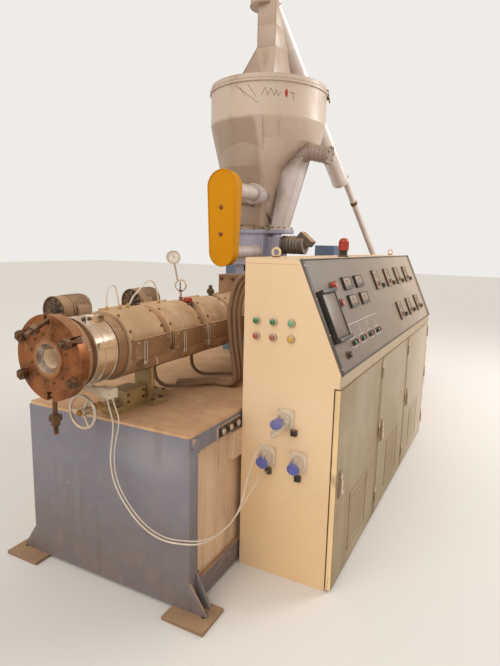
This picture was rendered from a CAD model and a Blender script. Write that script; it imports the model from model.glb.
# %% [markdown]
# # A twin screw extruder with its hopper and control cabinet
# The CAD model gives every piece its place and size. This lesson dresses it: paint, rust, dust,
# bolts, dials, lamps and hoses. All lengths are metres, +Z is up, +Y runs from the outlet to the
# drive, and +X points to the side where the operator stands.

# %% Load the frame
import math
from itertools import product
import bmesh
import bpy
from mathutils import Matrix, Vector


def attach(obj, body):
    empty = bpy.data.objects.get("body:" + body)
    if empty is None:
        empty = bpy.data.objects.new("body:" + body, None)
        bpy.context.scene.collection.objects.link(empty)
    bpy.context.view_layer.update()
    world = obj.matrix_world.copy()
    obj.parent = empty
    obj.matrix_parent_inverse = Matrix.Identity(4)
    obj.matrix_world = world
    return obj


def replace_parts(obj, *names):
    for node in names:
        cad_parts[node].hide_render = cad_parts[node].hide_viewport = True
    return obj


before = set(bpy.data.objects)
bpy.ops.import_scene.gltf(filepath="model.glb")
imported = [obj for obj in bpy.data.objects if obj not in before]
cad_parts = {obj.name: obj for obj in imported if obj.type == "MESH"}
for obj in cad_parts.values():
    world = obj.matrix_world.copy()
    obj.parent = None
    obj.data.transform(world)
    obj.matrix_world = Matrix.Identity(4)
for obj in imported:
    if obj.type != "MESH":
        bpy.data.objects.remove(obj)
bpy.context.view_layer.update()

# %% [markdown]
# ## Camera and light
# The camera stands where the photograph was taken: about 1.5 m over the floor, in front of the
# outlet and on the operator side. A lens of 27.5 mm on a 36 mm long side gives the wide view of
# a phone. The light is soft: a pale sky from all sides, one broad sun from the front, and a big
# panel on the right. It puts a gleam on round and glossy pieces, and lights the far doors more
# than the near one.

# %% Camera
CAMERA_AT = Vector((1.515, -3.578, 1.523))
RIGHT = Vector((0.88780198, 0.45964419, 0.02312707))
UP = Vector((-0.0981477, 0.13999782, 0.98527541))
FORWARD = Vector((-0.44963838, 0.87699933, -0.16940336))
camera_data = bpy.data.cameras.new("camera")
camera_data.lens = 27.52
camera_data.sensor_width = 36
camera_data.clip_start, camera_data.clip_end = 0.05, 100
camera = bpy.data.objects.new("camera", camera_data)
turn = Matrix((RIGHT, UP, -FORWARD)).transposed()
camera.matrix_world = Matrix.Translation(CAMERA_AT) @ turn.to_4x4()
bpy.context.collection.objects.link(camera)
bpy.context.scene.camera = camera
bpy.context.scene.view_settings.view_transform = "Standard"
print("camera at", tuple(CAMERA_AT))

# %% Sky, sun and panel
PALE = (0.86, 0.84, 0.81, 1)
world = bpy.data.worlds.new("pale sky")
bpy.context.scene.world = world
world.use_nodes = True
sky = world.node_tree
sky.nodes["Background"].inputs["Color"].default_value = (1.0, 0.97, 0.93, 1)
sky.nodes["Background"].inputs["Strength"].default_value = 0.74
shown = sky.nodes.new("ShaderNodeBackground")
shown.inputs["Color"].default_value = PALE
rays = sky.nodes.new("ShaderNodeLightPath")
choose = sky.nodes.new("ShaderNodeMixShader")
sky.links.new(rays.outputs["Is Camera Ray"], choose.inputs[0])
sky.links.new(sky.nodes["Background"].outputs[0], choose.inputs[1])
sky.links.new(shown.outputs[0], choose.inputs[2])
sky.links.new(choose.outputs[0], sky.nodes["World Output"].inputs["Surface"])


def lamp(name, kind, at, aim, energy, size, colour):
    """A light at a point, turned towards another point."""
    data = bpy.data.lights.new(name, kind)
    data.energy = energy
    data.color = colour
    if kind == "SUN":
        data.angle = size
    else:
        data.shape, data.size = "DISK", size
    obj = bpy.data.objects.new(name, data)
    obj.location = at
    obj.rotation_euler = (Vector(aim) - Vector(at)).to_track_quat("-Z", "Y").to_euler()
    bpy.context.collection.objects.link(obj)


lamp("front sun", "SUN", (-0.6, -6.0, 5.5), (0, 0, 1), 1.2, 1.1, (1.0, 0.95, 0.88))
lamp("side panel", "AREA", (4.6, 3.0, 4.0), (0.2, -0.3, 1.8), 200, 2.8, (1.0, 0.98, 0.96))

# %% [markdown]
# ## Tools for the finishes
# Old machines show the same few effects again and again: paint that isn't one flat colour, dust
# on top of everything, bare metal at the edges, stains that run down, and fine scratches. Each
# effect is one node group, and each material sets its strength.


# %% Node groups
def linear(code):
    """A colour written as on a web page, in the linear values that shaders use."""
    parts = [int(code[i:i + 2], 16) / 255 for i in (0, 2, 4)]
    return tuple(c / 12.92 if c <= 0.04045 else ((c + 0.055) / 1.055) ** 2.4
                 for c in parts) + (1.0,)


def new_group(name, inputs, outputs):
    """A shader node group with named sockets. Returns it with its first and last node."""
    group = bpy.data.node_groups.new(name, "ShaderNodeTree")
    for label, value in inputs.items():
        kind = "NodeSocketColor" if isinstance(value, tuple) else "NodeSocketFloat"
        group.interface.new_socket(name=label, in_out="INPUT", socket_type=kind)
    for label, kind in outputs.items():
        group.interface.new_socket(name=label, in_out="OUTPUT",
                                   socket_type="NodeSocket" + kind)
    for item in group.interface.items_tree:
        if item.in_out == "INPUT":
            item.default_value = inputs[item.name]
    return group, group.nodes.new("NodeGroupInput"), group.nodes.new("NodeGroupOutput")


def feed(tree, value, socket):
    """Links an output to a socket, or sets the socket to a plain value."""
    if hasattr(value, "links"):
        tree.links.new(value, socket)
    else:
        socket.default_value = value


def close_group(tree, end, mask, start, second, label="Mask"):
    """Ends a group: its second colour is laid over the first by the mask."""
    mixed = mix_colour(tree, mask, start.outputs["Colour"], start.outputs[second])
    tree.links.new(mixed, end.inputs["Colour"])
    tree.links.new(mask, end.inputs[label])


def math_node(tree, operation, a, b=0.5, clamp=False):
    """A Math node fed by sockets or plain numbers."""
    node = tree.nodes.new("ShaderNodeMath")
    node.operation, node.use_clamp = operation, clamp
    for socket, value in zip(node.inputs, (a, b)):
        feed(tree, value, socket)
    return node.outputs[0]


def ramp(tree, value, low, high):
    """0 below low, 1 above high, smooth in between."""
    node = tree.nodes.new("ShaderNodeMapRange")
    node.interpolation_type = "SMOOTHSTEP"
    node.inputs["From Min"].default_value = low
    node.inputs["From Max"].default_value = high
    tree.links.new(value, node.inputs["Value"])
    return node.outputs["Result"]


def mix_colour(tree, amount, a, b):
    """Blends two colours, each a socket or a plain colour."""
    node = tree.nodes.new("ShaderNodeMix")
    node.data_type = "RGBA"
    for socket, value in zip((node.inputs[0], node.inputs[6], node.inputs[7]), (amount, a, b)):
        feed(tree, value, socket)
    return node.outputs[2]


def place(tree, scale=(1, 1, 1), turn_by=(0, 0, 0), at=(0, 0, 0)):
    """Object coordinates, moved, turned and stretched."""
    coords = tree.nodes.new("ShaderNodeTexCoord")
    mapping = tree.nodes.new("ShaderNodeMapping")
    mapping.inputs["Location"].default_value = at
    mapping.inputs["Rotation"].default_value = turn_by
    mapping.inputs["Scale"].default_value = scale
    tree.links.new(coords.outputs["Object"], mapping.inputs["Vector"])
    return mapping.outputs[0]


def noise(tree, vector, scale, detail=3.0, rough=0.55):
    """Noise on the given coordinates; scale is a number or a socket."""
    node = tree.nodes.new("ShaderNodeTexNoise")
    node.inputs["Detail"].default_value = detail
    node.inputs["Roughness"].default_value = rough
    feed(tree, scale, node.inputs["Scale"])
    tree.links.new(vector, node.inputs["Vector"])
    return node.outputs["Fac"]


GREY = (0.5, 0.5, 0.5, 1)
MOTTLE, start, end = new_group(
    "mottle", {"Colour": GREY, "Second": GREY, "Amount": 0.5, "Scale": 5.0},
    {"Colour": "Color", "Value": "Float"})
spots = noise(MOTTLE, place(MOTTLE), start.outputs["Scale"], 5.0, 0.6)
wide = ramp(MOTTLE, spots, 0.36, 0.66)
amount = math_node(MOTTLE, "MULTIPLY", wide, start.outputs["Amount"])
close_group(MOTTLE, end, amount, start, "Second", "Value")

DUST, start, end = new_group(
    "dust", {"Colour": GREY, "Dust": GREY, "On top": 0.5, "All over": 0.1},
    {"Colour": "Color", "Mask": "Float"})
facing = DUST.nodes.new("ShaderNodeNewGeometry")
parts = DUST.nodes.new("ShaderNodeSeparateXYZ")
DUST.links.new(facing.outputs["Normal"], parts.inputs[0])
upward = ramp(DUST, parts.outputs["Z"], 0.15, 0.85)
cloud = noise(DUST, place(DUST), 9.0, 6.0, 0.65)
patchy = ramp(DUST, cloud, 0.2, 0.62)
on_top = math_node(DUST, "MULTIPLY", math_node(DUST, "MULTIPLY", upward, patchy),
                   start.outputs["On top"])
everywhere = math_node(DUST, "MULTIPLY", ramp(DUST, cloud, 0.35, 0.8),
                       start.outputs["All over"])
mask = math_node(DUST, "ADD", on_top, everywhere, True)
close_group(DUST, end, mask, start, "Dust")

WEAR, start, end = new_group(
    "edge wear", {"Colour": GREY, "Bare": GREY, "Amount": 0.5, "Width": 0.004},
    {"Colour": "Color", "Mask": "Float"})
rounded = WEAR.nodes.new("ShaderNodeBevel")
rounded.samples = 4
WEAR.links.new(start.outputs["Width"], rounded.inputs["Radius"])
flat = WEAR.nodes.new("ShaderNodeNewGeometry")
dot = WEAR.nodes.new("ShaderNodeVectorMath")
dot.operation = "DOT_PRODUCT"
WEAR.links.new(rounded.outputs[0], dot.inputs[0])
WEAR.links.new(flat.outputs["Normal"], dot.inputs[1])
edge = math_node(WEAR, "SUBTRACT", 1.0, dot.outputs["Value"], True)
edge = ramp(WEAR, edge, 0.02, 0.16)
broken = ramp(WEAR, noise(WEAR, place(WEAR), 60.0, 4.0, 0.7), 0.42, 0.56)
mask = math_node(WEAR, "MULTIPLY", math_node(WEAR, "MULTIPLY", edge, broken),
                 start.outputs["Amount"], True)
close_group(WEAR, end, mask, start, "Bare")

STREAKS, start, end = new_group(
    "streaks", {"Colour": GREY, "Stain": GREY, "Amount": 0.3, "Scale": 14.0},
    {"Colour": "Color", "Mask": "Float"})
runs = noise(STREAKS, place(STREAKS, (1, 1, 0.07)), start.outputs["Scale"], 4.0, 0.6)
clouds = ramp(STREAKS, noise(STREAKS, place(STREAKS, at=(3, 1, 2)), 2.2, 3.0), 0.4, 0.62)
mask = math_node(STREAKS, "MULTIPLY", ramp(STREAKS, runs, 0.48, 0.72), clouds)
mask = math_node(STREAKS, "MULTIPLY", mask, start.outputs["Amount"], True)
close_group(STREAKS, end, mask, start, "Stain")

SCRATCHES, start, end = new_group(
    "scratches", {"Colour": GREY, "Bare": GREY, "Amount": 0.3, "Scale": 1.0},
    {"Colour": "Color", "Mask": "Float"})
lines = 0.0
for turned, offset in (((0.5, 0.9, 0.3), 0.0), ((1.9, 0.3, 1.2), 5.0), ((0.2, 2.4, 2.0), 9.0)):
    thread = noise(SCRATCHES, place(SCRATCHES, (7, 0.5, 0.5), turned, (offset, 0, 0)),
                   start.outputs["Scale"], 1.0, 0.4)
    off = math_node(SCRATCHES, "ABSOLUTE", math_node(SCRATCHES, "SUBTRACT", thread, 0.5))
    thin = ramp(SCRATCHES, math_node(SCRATCHES, "SUBTRACT", 0.005, off), 0.0, 0.004)
    part = ramp(SCRATCHES, noise(SCRATCHES, place(SCRATCHES, at=(offset, 7, 3)), 4.3, 2.0),
                0.56, 0.62)
    lines = math_node(SCRATCHES, "ADD", lines, math_node(SCRATCHES, "MULTIPLY", thin, part), True)
mask = math_node(SCRATCHES, "MULTIPLY", lines, start.outputs["Amount"], True)
close_group(SCRATCHES, end, mask, start, "Bare")
print("node groups", [g.name for g in bpy.data.node_groups])

# %% [markdown]
# A finish starts from its paint or metal and passes through the groups in the order in which the
# real surface got them: mottled paint, stains, scratches, worn edges, and dust last of all. The
# masks also raise the roughness, because dust and rust aren't glossy. A Bevel node rounds the
# sharp CAD edges for the light, so that each edge catches a thin gleam.


# %% Finish maker
DUST_TAN = linear("b89470")


def add_group(tree, group, colour, **values):
    """Places a group in a material and returns its colour and its mask."""
    node = tree.nodes.new("ShaderNodeGroup")
    node.node_tree = group
    feed(tree, colour, node.inputs["Colour"])
    for label, value in values.items():
        node.inputs[label.replace("_", " ")].default_value = value
    return node.outputs[0], node.outputs[1]


def blot(centre, scale, inner, outer, code, amount=1.0):
    """Another colour inside an ellipsoid. A scale of 0 leaves that direction out."""
    def change(tree, colour):
        moved = place(tree, scale, at=[-c * k for c, k in zip(centre, scale)])
        length = tree.nodes.new("ShaderNodeVectorMath")
        length.operation = "LENGTH"
        tree.links.new(moved, length.inputs[0])
        torn = math_node(tree, "MULTIPLY_ADD", noise(tree, place(tree), 22.0, 4.0, 0.6),
                         (outer - inner) * 0.6)
        tree.links.new(length.outputs["Value"], torn.node.inputs[2])
        outside = ramp(tree, torn, inner + (outer - inner) * 0.3, outer + (outer - inner) * 0.3)
        inside = math_node(tree, "SUBTRACT", 1.0, outside, True)
        return mix_colour(tree, math_node(tree, "MULTIPLY", inside, amount), colour,
                          linear(code))
    return change


def finish(name, colour, rough, metal=0.0, mottle=(), streaks=(), bare=None, scratches=(),
           wear=(), dust=(0.3, 0.1), grain=0.15, grain_scale=160.0, soft_edge=0.002, coat=0.0,
           blots=()):
    """A painted or metal surface with age. Each blot changes the base colour in one place.
    mottle: second colour, amount, scale. streaks: amount, stain, scale. scratches: amount,
    scale. wear: amount, width. dust: on top, all over. Values left out take the usual ones."""
    made = bpy.data.materials.new(name)
    made.use_nodes = True
    tree = made.node_tree
    shader = tree.nodes["Principled BSDF"]
    colour = linear(colour)

    def shade(code, factor):
        return linear(code) if code else tuple(min(1, c * factor) for c in colour[:3]) + (1.0,)

    def whole(given, usual):
        return (*given, *usual[len(given):])

    second, amount, scale = whole(mottle, (None, 0.5, 5.0))
    out, value = add_group(tree, MOTTLE, colour, Second=shade(second, 0.72), Amount=amount,
                           Scale=scale)
    for change in blots:
        out = change(tree, out)
    masks = []
    bare = shade(bare, 1.7)
    if streaks:
        amount, stain, scale = whole(streaks, (0.0, None, 14.0))
        out, mask = add_group(tree, STREAKS, out, Stain=shade(stain, 0.4), Amount=amount,
                              Scale=scale)
        masks.append(mask)
    if scratches:
        amount, scale = whole(scratches, (0.0, 1.0))
        out, mask = add_group(tree, SCRATCHES, out, Bare=bare, Amount=amount, Scale=scale)
    if wear:
        amount, width = whole(wear, (0.0, 0.004))
        out, mask = add_group(tree, WEAR, out, Bare=bare, Amount=amount, Width=width)
    on_top, everywhere = dust
    if on_top or everywhere:
        out, mask = add_group(tree, DUST, out, Dust=DUST_TAN, On_top=on_top, All_over=everywhere)
        masks.append(mask)
    tree.links.new(out, shader.inputs["Base Color"])
    dull = math_node(tree, "MULTIPLY", value, 0.2)
    for mask in masks:
        dull = math_node(tree, "ADD", dull, math_node(tree, "MULTIPLY", mask, 0.6))
    tree.links.new(math_node(tree, "ADD", dull, rough, True), shader.inputs["Roughness"])
    if metal and masks:
        clean = math_node(tree, "SUBTRACT", metal, masks[-1], True)
        tree.links.new(clean, shader.inputs["Metallic"])
    else:
        shader.inputs["Metallic"].default_value = metal
    shader.inputs["Coat Weight"].default_value = coat
    shader.inputs["Coat Roughness"].default_value = 0.25
    bump = tree.nodes.new("ShaderNodeBump")
    bump.inputs["Strength"].default_value = grain
    bump.inputs["Distance"].default_value = 0.002
    tree.links.new(noise(tree, place(tree), grain_scale, 4.0, 0.6), bump.inputs["Height"])
    if soft_edge:
        edge_round = tree.nodes.new("ShaderNodeBevel")
        edge_round.samples = 4
        edge_round.inputs["Radius"].default_value = soft_edge
        tree.links.new(edge_round.outputs[0], bump.inputs["Normal"])
    tree.links.new(bump.outputs[0], shader.inputs["Normal"])
    return made

# %% [markdown]
# ## Paints and metals
# The base is slate blue under brown dust, the cabinet is cream, the covers on the barrel are
# sheet steel under thick dust, and the outlet is bare steel with a film of brown rust.

# %% Paints
slate = finish(
    "slate paint", "7b7985", 0.5, mottle=("716d76", 0.4, 3.2), streaks=(0.35, "5a4a3c"),
    bare="b4aca4", scratches=(0.25, 3.0), wear=(0.6,), dust=(0.75, 0.15),
    blots=[blot((0.25, -2.0, 0.66), (4, 4, 9), 0.3, 1.2, "a8a4a4", 0.35),
    blot((0, 0, 0), (0, 0, 1), 0.06, 0.62, "675646", 0.62)])
foot_steel = finish(
    "foot steel", "8d7056", 0.7, mottle=("745940", 0.7, 9.0), bare="a8a29a", wear=(0.5,),
    dust=(0.4, 0.3), grain=0.4, grain_scale=90,
    blots=[blot((0, 0, 0.3), (0, 0, 1), 0.268, 0.282, "6b6a70", 0.9)])
table_dust = finish(
    "dusty table", "d8ad84", 0.8, mottle=("bc9068", 0.7, 7.0), streaks=(0.3, "80603f"),
    bare="9a9aa0", wear=(0.4,), dust=(0.35, 0.3), grain=0.4, grain_scale=90)
beige = finish(
    "beige panel", "ddbb9a", 0.55, mottle=("c6a482", 0.5, 2.5), streaks=(0.6, "6c5340"),
    bare="d8c4a8", scratches=(0.5,), wear=(0.4,), dust=(0.3, 0.35))
cream = finish(
    "cream paint", "eacba6", 0.4, mottle=("e2c196", 0.5, 1.6), streaks=(0.1, "8a6440", 5.0),
    bare="8a7a66", wear=(0.2,), dust=(0.3, 0.06),
    blots=[blot((0, 0, -0.2), (0, 0, 1), 0.35, 1.1, "c49a62", 0.3),
    blot((0.923, 0, 0.967), (14, 0, 1), 0.05, 0.07, "9c8868", 0.85)])
door_cream = finish(
    "door paint", "9c8b6e", 0.42, mottle=("8a7858", 0.6, 1.4), streaks=(0.3, "6e4426", 4.0),
    bare="6e5a46", scratches=(0.4,), wear=(0.3,), dust=(0.3, 0.08),
    blots=[blot((0, -1.583, 0), (0, 1, 0), 0.0005, 0.0035, "f2cf9e", 0.95),
    blot((0, 0.9, 0), (0, 1, 0), 0.2, 1.0, "d8ccb8", 0.35)])
bronze = finish(
    "control panel paint", "83715b", 0.34, mottle=("75624d", 0.5, 3.0), bare="c6b8a0", wear=(0.2,),
    dust=(0.12, 0.1), blots=[blot((0.8, -2.0, 1.25), (0, 1, 0), 0.5, 1.9, "5c4a3a", 0.7),
    blot((0.8, 1.0, 1.25), (0, 1, 0), 0.2, 1.6, "c0ac98", 0.55)])
black_trim = finish(
    "black trim", "1e1916", 0.4, mottle=("2c2420",), bare="6a5a4a", wear=(0.15,),
    dust=(0.06, 0.05))
feeder_blue = finish(
    "feeder blue", "a2a3b8", 0.48, mottle=("8a8ba0", 0.5, 8.0), streaks=(0.3, "5a5048"),
    bare="cfc9c2", scratches=(0.3,), wear=(0.4,), dust=(0.7, 0.25))
drive_blue = finish(
    "drive blue", "5d7390", 0.5, mottle=("4c6078", 0.5, 4.0), streaks=(0.4, "3a3430"),
    bare="a9a6a2", scratches=(0.3,), wear=(0.5,), dust=(0.8, 0.2))
yellow = finish(
    "guard yellow", "d08c00", 0.5, mottle=("c58200", 0.35, 5.0), streaks=(0.3, "7a4a10"),
    bare="8f7a5a", scratches=(0.2,), wear=(0.15,), dust=(0.1, 0.0))
hopper_paint = finish(
    "hopper paint", "cbb6a4", 0.3, mottle=("b39c88", 0.6, 2.2), streaks=(0.6, "8b6a50", 9.0),
    bare="7f6c5e", scratches=(0.3, 2.2), wear=(0.15,), dust=(0.3, 0.12),
    blots=[blot((0, 0, 1.5), (0, 0, 1), 0.6, 0.84, "96806a", 0.2),
    blot((-2.0, -0.75, 1.95), (0.4695, 0.2, 0.5), 0.986, 1.0, "745d4a", 0.5),
    blot((0, 0, 2.376), (0, 0, 1), 0.112, 0.122, "c8b4a1", 0.95),
    blot((0, 0, 2.84), (0, 0, 1), 0.27, 0.34, "a58b76", 0.5),
    blot((0.253, -0.73, 2.389), (130, 20, 40), 0.7, 1.2, "a82c1c")])
duct_paint = finish(
    "duct paint", "cfc4c0", 0.36, mottle=("b5a8a2", 0.6, 6.0), streaks=(0.5, "6a5444"),
    bare="6f5c4c", scratches=(0.5, 2.5), wear=(0.5,), dust=(0.4, 0.12),
    blots=[blot((0.25, -0.55, 2.2), (0, 0, 1), 0.16, 0.26, "7f6b5c", 0.8),
    blot((0.15, -0.64, 1.86), (12, 12, 7), 0.3, 1.1, "5c4636", 0.6)])
tube_metal = finish(
    "tube metal", "dbd0cb", 0.32, metal=0.3, mottle=("bfb1a8", 0.5, 3.0), streaks=(0.3, "7a604c"),
    dust=(0.4, 0.1))

# %% Metals and plastics
cover_steel = finish(
    "cover steel", "dcb992", 0.45, metal=0.3, mottle=("bb976f", 0.7, 6.0), streaks=(0.4, "4a3220"),
    bare="f0dcc0", scratches=(0.7, 2.0), wear=(0.5, 0.003), dust=(0.75, 0.22),
    blots=[blot((0, 0, 0.9), (0, 0, 1), 0.06, 0.2, "5a3d26", 0.7)])
terminal_steel = finish(
    "terminal steel", "9e7654", 0.45, metal=0.3, mottle=("7c593c", 0.7, 7.0), bare="dcc4a4",
    scratches=(0.7, 2.0), wear=(0.6, 0.003), dust=(0.75, 0.12))
dark_steel = finish(
    "dark steel", "4e3a2b", 0.5, metal=0.3, mottle=("33251b", 0.6, 9.0), bare="a08a70",
    wear=(0.5,), dust=(0.7, 0.2))
motor_grey = finish(
    "motor grey", "554e4a", 0.5, mottle=("3f3935", 0.6, 9.0), bare="a8a29a", wear=(0.5,),
    dust=(0.8, 0.2))
blower_paint = finish(
    "blower paint", "9a7a5c", 0.5, mottle=("7c5f45", 0.6, 7.0), bare="c8b090", wear=(0.4,),
    dust=(0.6, 0.25))
rusty = finish(
    "rusty steel", "94582a", 0.36, metal=0.55, mottle=("5e3215", 0.8, 14.0),
    streaks=(0.25, "3a2010"), bare="dba878", scratches=(0.4, 3.0), wear=(0.7, 0.003),
    dust=(0.3, 0.06), grain=0.4, grain_scale=120,
    blots=[blot((0, -2.29, 1.09), (1, 0.3, 1), 0.055, 0.082, "c08a60", 0.75)])
dark_bolt = finish(
    "dark bolt", "6b4a30", 0.45, metal=0.6, mottle=("3f2816", 0.7, 40.0), bare="c8a67c",
    wear=(0.7, 0.002), dust=(0.4, 0.1))
polished = finish(
    "polished steel", "d6c9ba", 0.16, metal=0.95, mottle=("b8a58e", 0.4, 7.0), bare="f4ead8",
    scratches=(0.4, 2.0), wear=(0.2,), dust=(0.95, 0.04), grain=0.05)
bright_steel = finish(
    "bright steel", "b8a898", 0.2, metal=0.95, mottle=("604a38", 0.9, 24.0), dust=(0.15, 0.1),
    grain=0.04)
bore_steel = finish(
    "worn bore steel", "fbe6c8", 0.25, metal=0.15, mottle=("ecd0a8", 0.5, 20.0), dust=(0.1, 0.02),
    grain=0.03, blots=[blot((-0.01, -2.1, 1.128), (30, 2, 40), 0.5, 1.1, "453a34", 0.9)])
plated = finish(
    "plated steel", "d3c5b2", 0.25, metal=0.8, mottle=("a8937a", 0.4, 12.0), wear=(0.2,),
    dust=(0.4, 0.08), grain=0.06)
brass = finish(
    "brass", "b98d4e", 0.3, metal=0.85, mottle=("8a6230", 0.5, 20.0), wear=(0.3, 0.002),
    dust=(0.4, 0.1), grain=0.1)
khaki = finish(
    "zinc plating", "b59c6c", 0.42, metal=0.4, mottle=("8f7a50", 0.6, 10.0), bare="d8c69a",
    wear=(0.5,), dust=(0.6, 0.2))
white_plastic = finish(
    "white plastic", "d9c8b0", 0.42, mottle=("c2ad90", 0.4, 20.0), dust=(0.25, 0.12), grain=0.05)
grey_plastic = finish(
    "grey plastic", "cbc0b4", 0.42, mottle=("b3a698", 0.4, 20.0), dust=(0.25, 0.12), grain=0.05)
black_plastic = finish(
    "black plastic", "241e1a", 0.42, mottle=("32281f", 0.4, 15.0), dust=(0.4, 0.15), grain=0.05)
blue_plastic = finish(
    "blue plastic", "5a66b0", 0.38, mottle=("4a5396", 0.4, 20.0), dust=(0.35, 0.12), grain=0.05)
red_plastic = finish(
    "red plastic", "b02a12", 0.28, mottle=("96200c", 0.3, 20.0), dust=(0.1, 0.02), grain=0.04,
    coat=0.3)
white_cord = finish(
    "white cord", "ddd0be", 0.5, mottle=("b9a48a", 0.5, 12.0), dust=(0.3, 0.15), grain=0.05,
    soft_edge=0)
hose_rubber = finish(
    "hose rubber", "82634a", 0.55, mottle=("664b36", 0.5, 9.0), dust=(0.5, 0.3), grain=0.2,
    soft_edge=0)
zinc = finish(
    "zinc sheet", "a9a59c", 0.4, metal=0.6, mottle=("8f8b83", 0.5, 6.0), dust=(0.3, 0.1))

# %% Which node gets which finish
yellow.node_tree.nodes["Principled BSDF"].inputs["Specular IOR Level"].default_value = 0.15
for finish_made, names in (
        (slate, "base_frame"), (foot_steel, "base_feet"), (table_dust, "base_top"),
        (beige, "side_panels side_box"), (rusty, "die_flange clamp_lugs"),
        (terminal_steel, "barrel_ring barrel feed_block terminal_boxes"),
        (dark_bolt, "clamp_bolts swing_bolt"), (polished, "band_heater"),
        (cover_steel, "heater_covers"), (blower_paint, "blowers"),
        (dark_steel, "vent_fittings"), (motor_grey, "feeder_motor"), (khaki, "barrel_support"),
        (plated, "handwheel vacuum_gauge"), (red_plastic, "vent_knob beacon"),
        (white_cord, "thermocouples"), (feeder_blue, "feeder_body"),
        (yellow, "chain_guard coupling_guard"),
        (hopper_paint, "hopper_shell hopper_lid drop_chute loader_bin"),
        (duct_paint, "hopper_branch agitator_shaft"), (tube_metal, "loader_tube"),
        (drive_blue, "gearbox main_motor motor_fan"),
        (cream, "cabinet_walls cabinet_roof cabinet_base cabinet_frame door_posts door_hinges"),
        (door_cream, "door_1 door_2 door_3"), (zinc, "mounting_plate"),
        (bronze, "control_panel"), (black_plastic, "panel_fittings operator_box end_lamps"),
        (white_plastic, "heater_plug socket_plug"), (grey_plastic, "socket_plates"),
        (blue_plastic, "socket_cap_1 socket_cap_2 socket_cap_3")):
    for name in names.split():
        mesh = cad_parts[name].data
        if not mesh.materials:
            mesh.materials.append(finish_made)
        for slot in range(len(mesh.materials)):
            mesh.materials[slot] = finish_made

# %% [markdown]
# ## Cords and hoses
# Two thin leads hang in front of the base: the heater's lead goes down to its socket on the
# cabinet, and a thinner probe lead runs beside it. Three hoses come out of the cabinet's back
# and lie down on the table. Each is one smooth curve through the same points as in the CAD.


# %% Curves through points
def smooth_path(points, steps):
    """More points on a smooth line through the given ones."""
    pts = [Vector(p) for p in points]
    out = []
    for i in range(len(pts) - 1):
        a, b = pts[max(i - 1, 0)], pts[i]
        c, d = pts[i + 1], pts[min(i + 2, len(pts) - 1)]
        for k in range(steps):
            t = k / steps
            out.append(0.5 * (2 * b + (c - a) * t + (2 * a - 5 * b + 4 * c - d) * t * t
                              + (3 * b - a - 3 * c + d) * t ** 3))
    return out + [pts[-1]]


def path_length(points):
    """The length along a list of points."""
    return sum((b - a).length for a, b in zip(points, points[1:]))


def round_cord(name, points, radius, material, body="machine"):
    """A round cord as one open curve."""
    curve = bpy.data.curves.new(name, "CURVE")
    curve.dimensions = "3D"
    curve.bevel_depth, curve.bevel_resolution = radius, 3
    curve.use_fill_caps = True
    line = curve.splines.new("POLY")
    line.points.add(len(points) - 1)
    for spot, p in zip(line.points, points):
        spot.co = (*p, 1)
    line.use_smooth = True
    curve.materials.append(material)
    obj = bpy.data.objects.new(name, curve)
    bpy.context.collection.objects.link(obj)
    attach(obj, body)
    return obj


MM = 0.001
HEATER_LEAD = [
    (92, -2065, 903), (94, -2064, 885), (103, -2062, 848), (115, -2060, 803),
    (115, -2060, 755), (106, -2060, 697), (99, -2060, 640), (103, -2060, 585),
    (118, -2060, 533), (145, -2060, 485), (185, -2060, 438), (236, -2060, 393),
    (300, -2060, 360), (374, -2058, 346), (444, -2046, 347), (494, -2004, 338),
    (522, -1940, 335), (532, -1870, 337), (537, -1805, 347), (547, -1758, 382),
    (552, -1730, 436), (564, -1720, 508), (584, -1721, 584), (606, -1726, 642),
    (630, -1729, 680), (652, -1722, 702), (662, -1709, 713), (667.5, -1696.2, 721.6)]
PROBE_LEAD = [
    (122, -2064, 903), (125, -2063, 884), (136, -2060, 852), (146, -2058, 815),
    (140, -2057, 772), (126, -2056, 720), (116, -2056, 655), (118, -2056, 590),
    (134, -2056, 535), (160, -2056, 490), (200, -2056, 444), (250, -2056, 402),
    (312, -2055, 370), (384, -2052, 357), (452, -2036, 358), (502, -1994, 350),
    (532, -1930, 348), (543, -1860, 352), (550, -1796, 368), (562, -1740, 410),
    (578, -1690, 462), (592, -1650, 496), (602, -1622, 510), (606, -1597, 513)]
HOSE_LINE = [
    (462, -1240, 1400), (430, -1240, 1400), (372, -1256, 1396), (322, -1274, 1376),
    (284, -1284, 1330), (260, -1290, 1250), (250, -1290, 1150), (262, -1290, 1010),
    (280, -1290, 890), (274, -1286, 826), (236, -1278, 797), (150, -1280, 791.5),
    (60, -1324, 791.5), (-40, -1394, 791.5)]
HOSE_TURN = [90, 90, 68, 46, 32, 27, 27, 38, 58, 76, 90, 98, 112, 116]


def in_metres(points):
    """Millimetres to metres."""
    return [tuple(MM * v for v in p) for p in points]


# %% The two leads
for name, points, radius in (("heater_lead_cord", HEATER_LEAD, 0.0035),
                             ("probe_lead_cord", PROBE_LEAD, 0.0025)):
    path = smooth_path(in_metres(points), 5)
    lead = round_cord(name, path, radius, white_cord)
    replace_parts(lead, name.replace("_cord", ""))
    print(name, "is", round(path_length(path), 3), "m long")

# %% The three hoses
for k in (-1, 0, 1):
    beside = [(x + 25 * k * math.cos(math.radians(a)), y + 25 * k * math.sin(math.radians(a)), z)
              for (x, y, z), a in zip(HOSE_LINE, HOSE_TURN)]
    path = smooth_path(in_metres(beside), 6)
    hose = round_cord(f"hose_{k + 2}", path, 0.012, hose_rubber)
    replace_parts(hose, "hoses")
    print(hose.name, "is", round(path_length(path), 3), "m long")

# %% [markdown]
# ## Tools for small pieces
# Bolts, rings and covers are all made in the same way: a cone, a cube or a profile that is spun
# round an axis, with its bevel. All tools draw on one open bmesh. Then piece() closes it as an
# object that rides on its body, and opens the next. Sharp edges over 32 degrees suit turned and
# bent metal.

# %% Places and directions
def shift(x, y, z):
    """A move."""
    return Matrix.Translation((x, y, z))


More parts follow.
